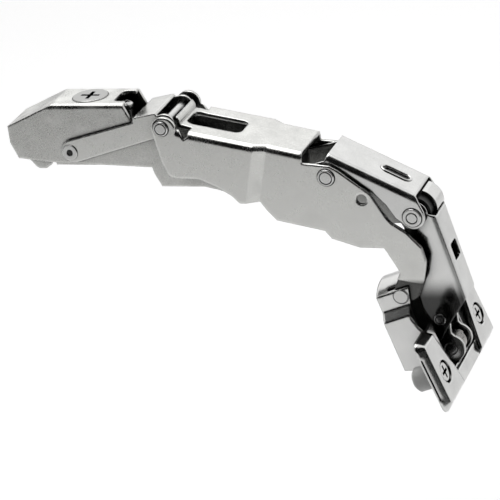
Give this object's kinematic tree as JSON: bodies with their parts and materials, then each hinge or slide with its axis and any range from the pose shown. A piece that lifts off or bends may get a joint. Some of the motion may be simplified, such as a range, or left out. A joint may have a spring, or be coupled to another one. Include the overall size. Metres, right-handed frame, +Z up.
{
  "type": "concealed cup hinge",
  "caption": "Wide-angle concealed cabinet hinge with seven pivots: an arm housing, joggled levers, and a pressed cup with wings, modelled at its fully open stop.",
  "frame": {"origin": "on the depth screw's axis, on the flat base that rests on the mounting plate", "axes": "+X along the arm towards the cup, +Z up through the arm's top, +Y across the hinge, which is mirrored in Y = 0"},
  "size_m": [0.1469, 0.0584, 0.0951],
  "materials": {
    "arm_steel": "satin nickel plating, slightly mottled",
    "lever_steel": "satin nickel plating",
    "pin_steel": "satin nickel plating on riveted heads",
    "cup_steel": "bright nickel plating",
    "screw_steel": "bright plated",
    "spring_steel": "drawn wire",
    "dowel_plastic": "pale grey moulded",
    "buffer_plastic": "black moulded"
  },
  "bodies": {
    "carriage": {"carriage": "arm_steel", "release_pin": "pin_steel"},
    "arm": {"arm_housing": "arm_steel", "pin_1_arm_link": "pin_steel"},
    "depth_screw": {"depth_screw": "screw_steel"},
    "side_screw": {"side_screw": "screw_steel"},
    "release_lever": {"release_lever": "arm_steel", "release_spring": "spring_steel"},
    "link": {"link_bar": "lever_steel"},
    "long_lever": {"long_lever": "lever_steel", "pin_2_link_lever": "pin_steel", "pin_3_lever_second": "pin_steel"},
    "second_lever": {"second_lever": "lever_steel", "pin_4_second_outer": "pin_steel", "pin_6_tail": "pin_steel", "buffer_block": "buffer_plastic"},
    "outer_lever": {"outer_lever": "cup_steel", "cam_plates": "cup_steel", "cam_rivet": "pin_steel", "pin_7_cam": "pin_steel", "closing_spring": "spring_steel"},
    "cup": {"cup": "cup_steel", "wing_cover": "cup_steel", "dowels": "dowel_plastic", "dowel_screws": "screw_steel", "pin_5_lever_cup": "pin_steel"}
  },
  "joints": [
    {"name": "depth_slide", "type": "slide", "parent": "carriage", "child": "arm", "axis": [1, 0, 0], "range_m": [-0.00201, 0.00201]},
    {"name": "depth_screw_turn", "type": "hinge", "parent": "arm", "child": "depth_screw", "pos_m": [0, 0, 0.0215], "axis": [0, 0, 1], "range_deg": [-57.3, 57.3]},
    {"name": "side_screw_turn", "type": "hinge", "parent": "carriage", "child": "side_screw", "pos_m": [0.0119, 0, 0.0192], "axis": [0, 0, 1], "range_deg": [-180, 180]},
    {"name": "release", "type": "hinge", "parent": "carriage", "child": "release_lever", "pos_m": [-0.02, 0, 0.0092], "axis": [0, 1, 0], "range_deg": [0, 12], "stiffness_Nm_per_rad": 0.5, "springref_deg": -20.05, "deforming": ["release_spring"]},
    {"name": "pivot_1", "type": "hinge", "parent": "arm", "child": "link", "pos_m": [-0.0061, 0, 0.0053], "axis": [0, -1, 0], "range_deg": [0, 119.5]},
    {"name": "pivot_2", "type": "hinge", "parent": "link", "child": "long_lever", "pos_m": [0.0279, 0, 0.0148], "axis": [0, -1, 0], "range_deg": [-110.68, 0]},
    {"name": "pivot_3", "type": "hinge", "parent": "long_lever", "child": "second_lever", "pos_m": [0.0797, 0, -0.0022], "axis": [0, -1, 0], "range_deg": [0, 119.16]},
    {"name": "pivot_4", "type": "hinge", "parent": "second_lever", "child": "outer_lever", "pos_m": [0.1056, 0, -0.016], "axis": [0, -1, 0], "range_deg": [-108.64, 0]},
    {"name": "pivot_5", "type": "hinge", "parent": "long_lever", "child": "cup", "pos_m": [0.0991, 0, -0.043], "axis": [0, -1, 0], "range_deg": [0, 151.48]}
  ],
  "couplings": [
    {"joint": "depth_slide", "follows": "depth_screw_turn", "m_per_rad": 0.002},
    {"joint": "pivot_2", "follows": "pivot_1", "ratio": -0.926},
    {"joint": "pivot_3", "follows": "pivot_1", "ratio": 0.997},
    {"joint": "pivot_4", "follows": "pivot_1", "ratio": -0.909},
    {"joint": "pivot_5", "follows": "pivot_1", "ratio": 1.2674}
  ]
}
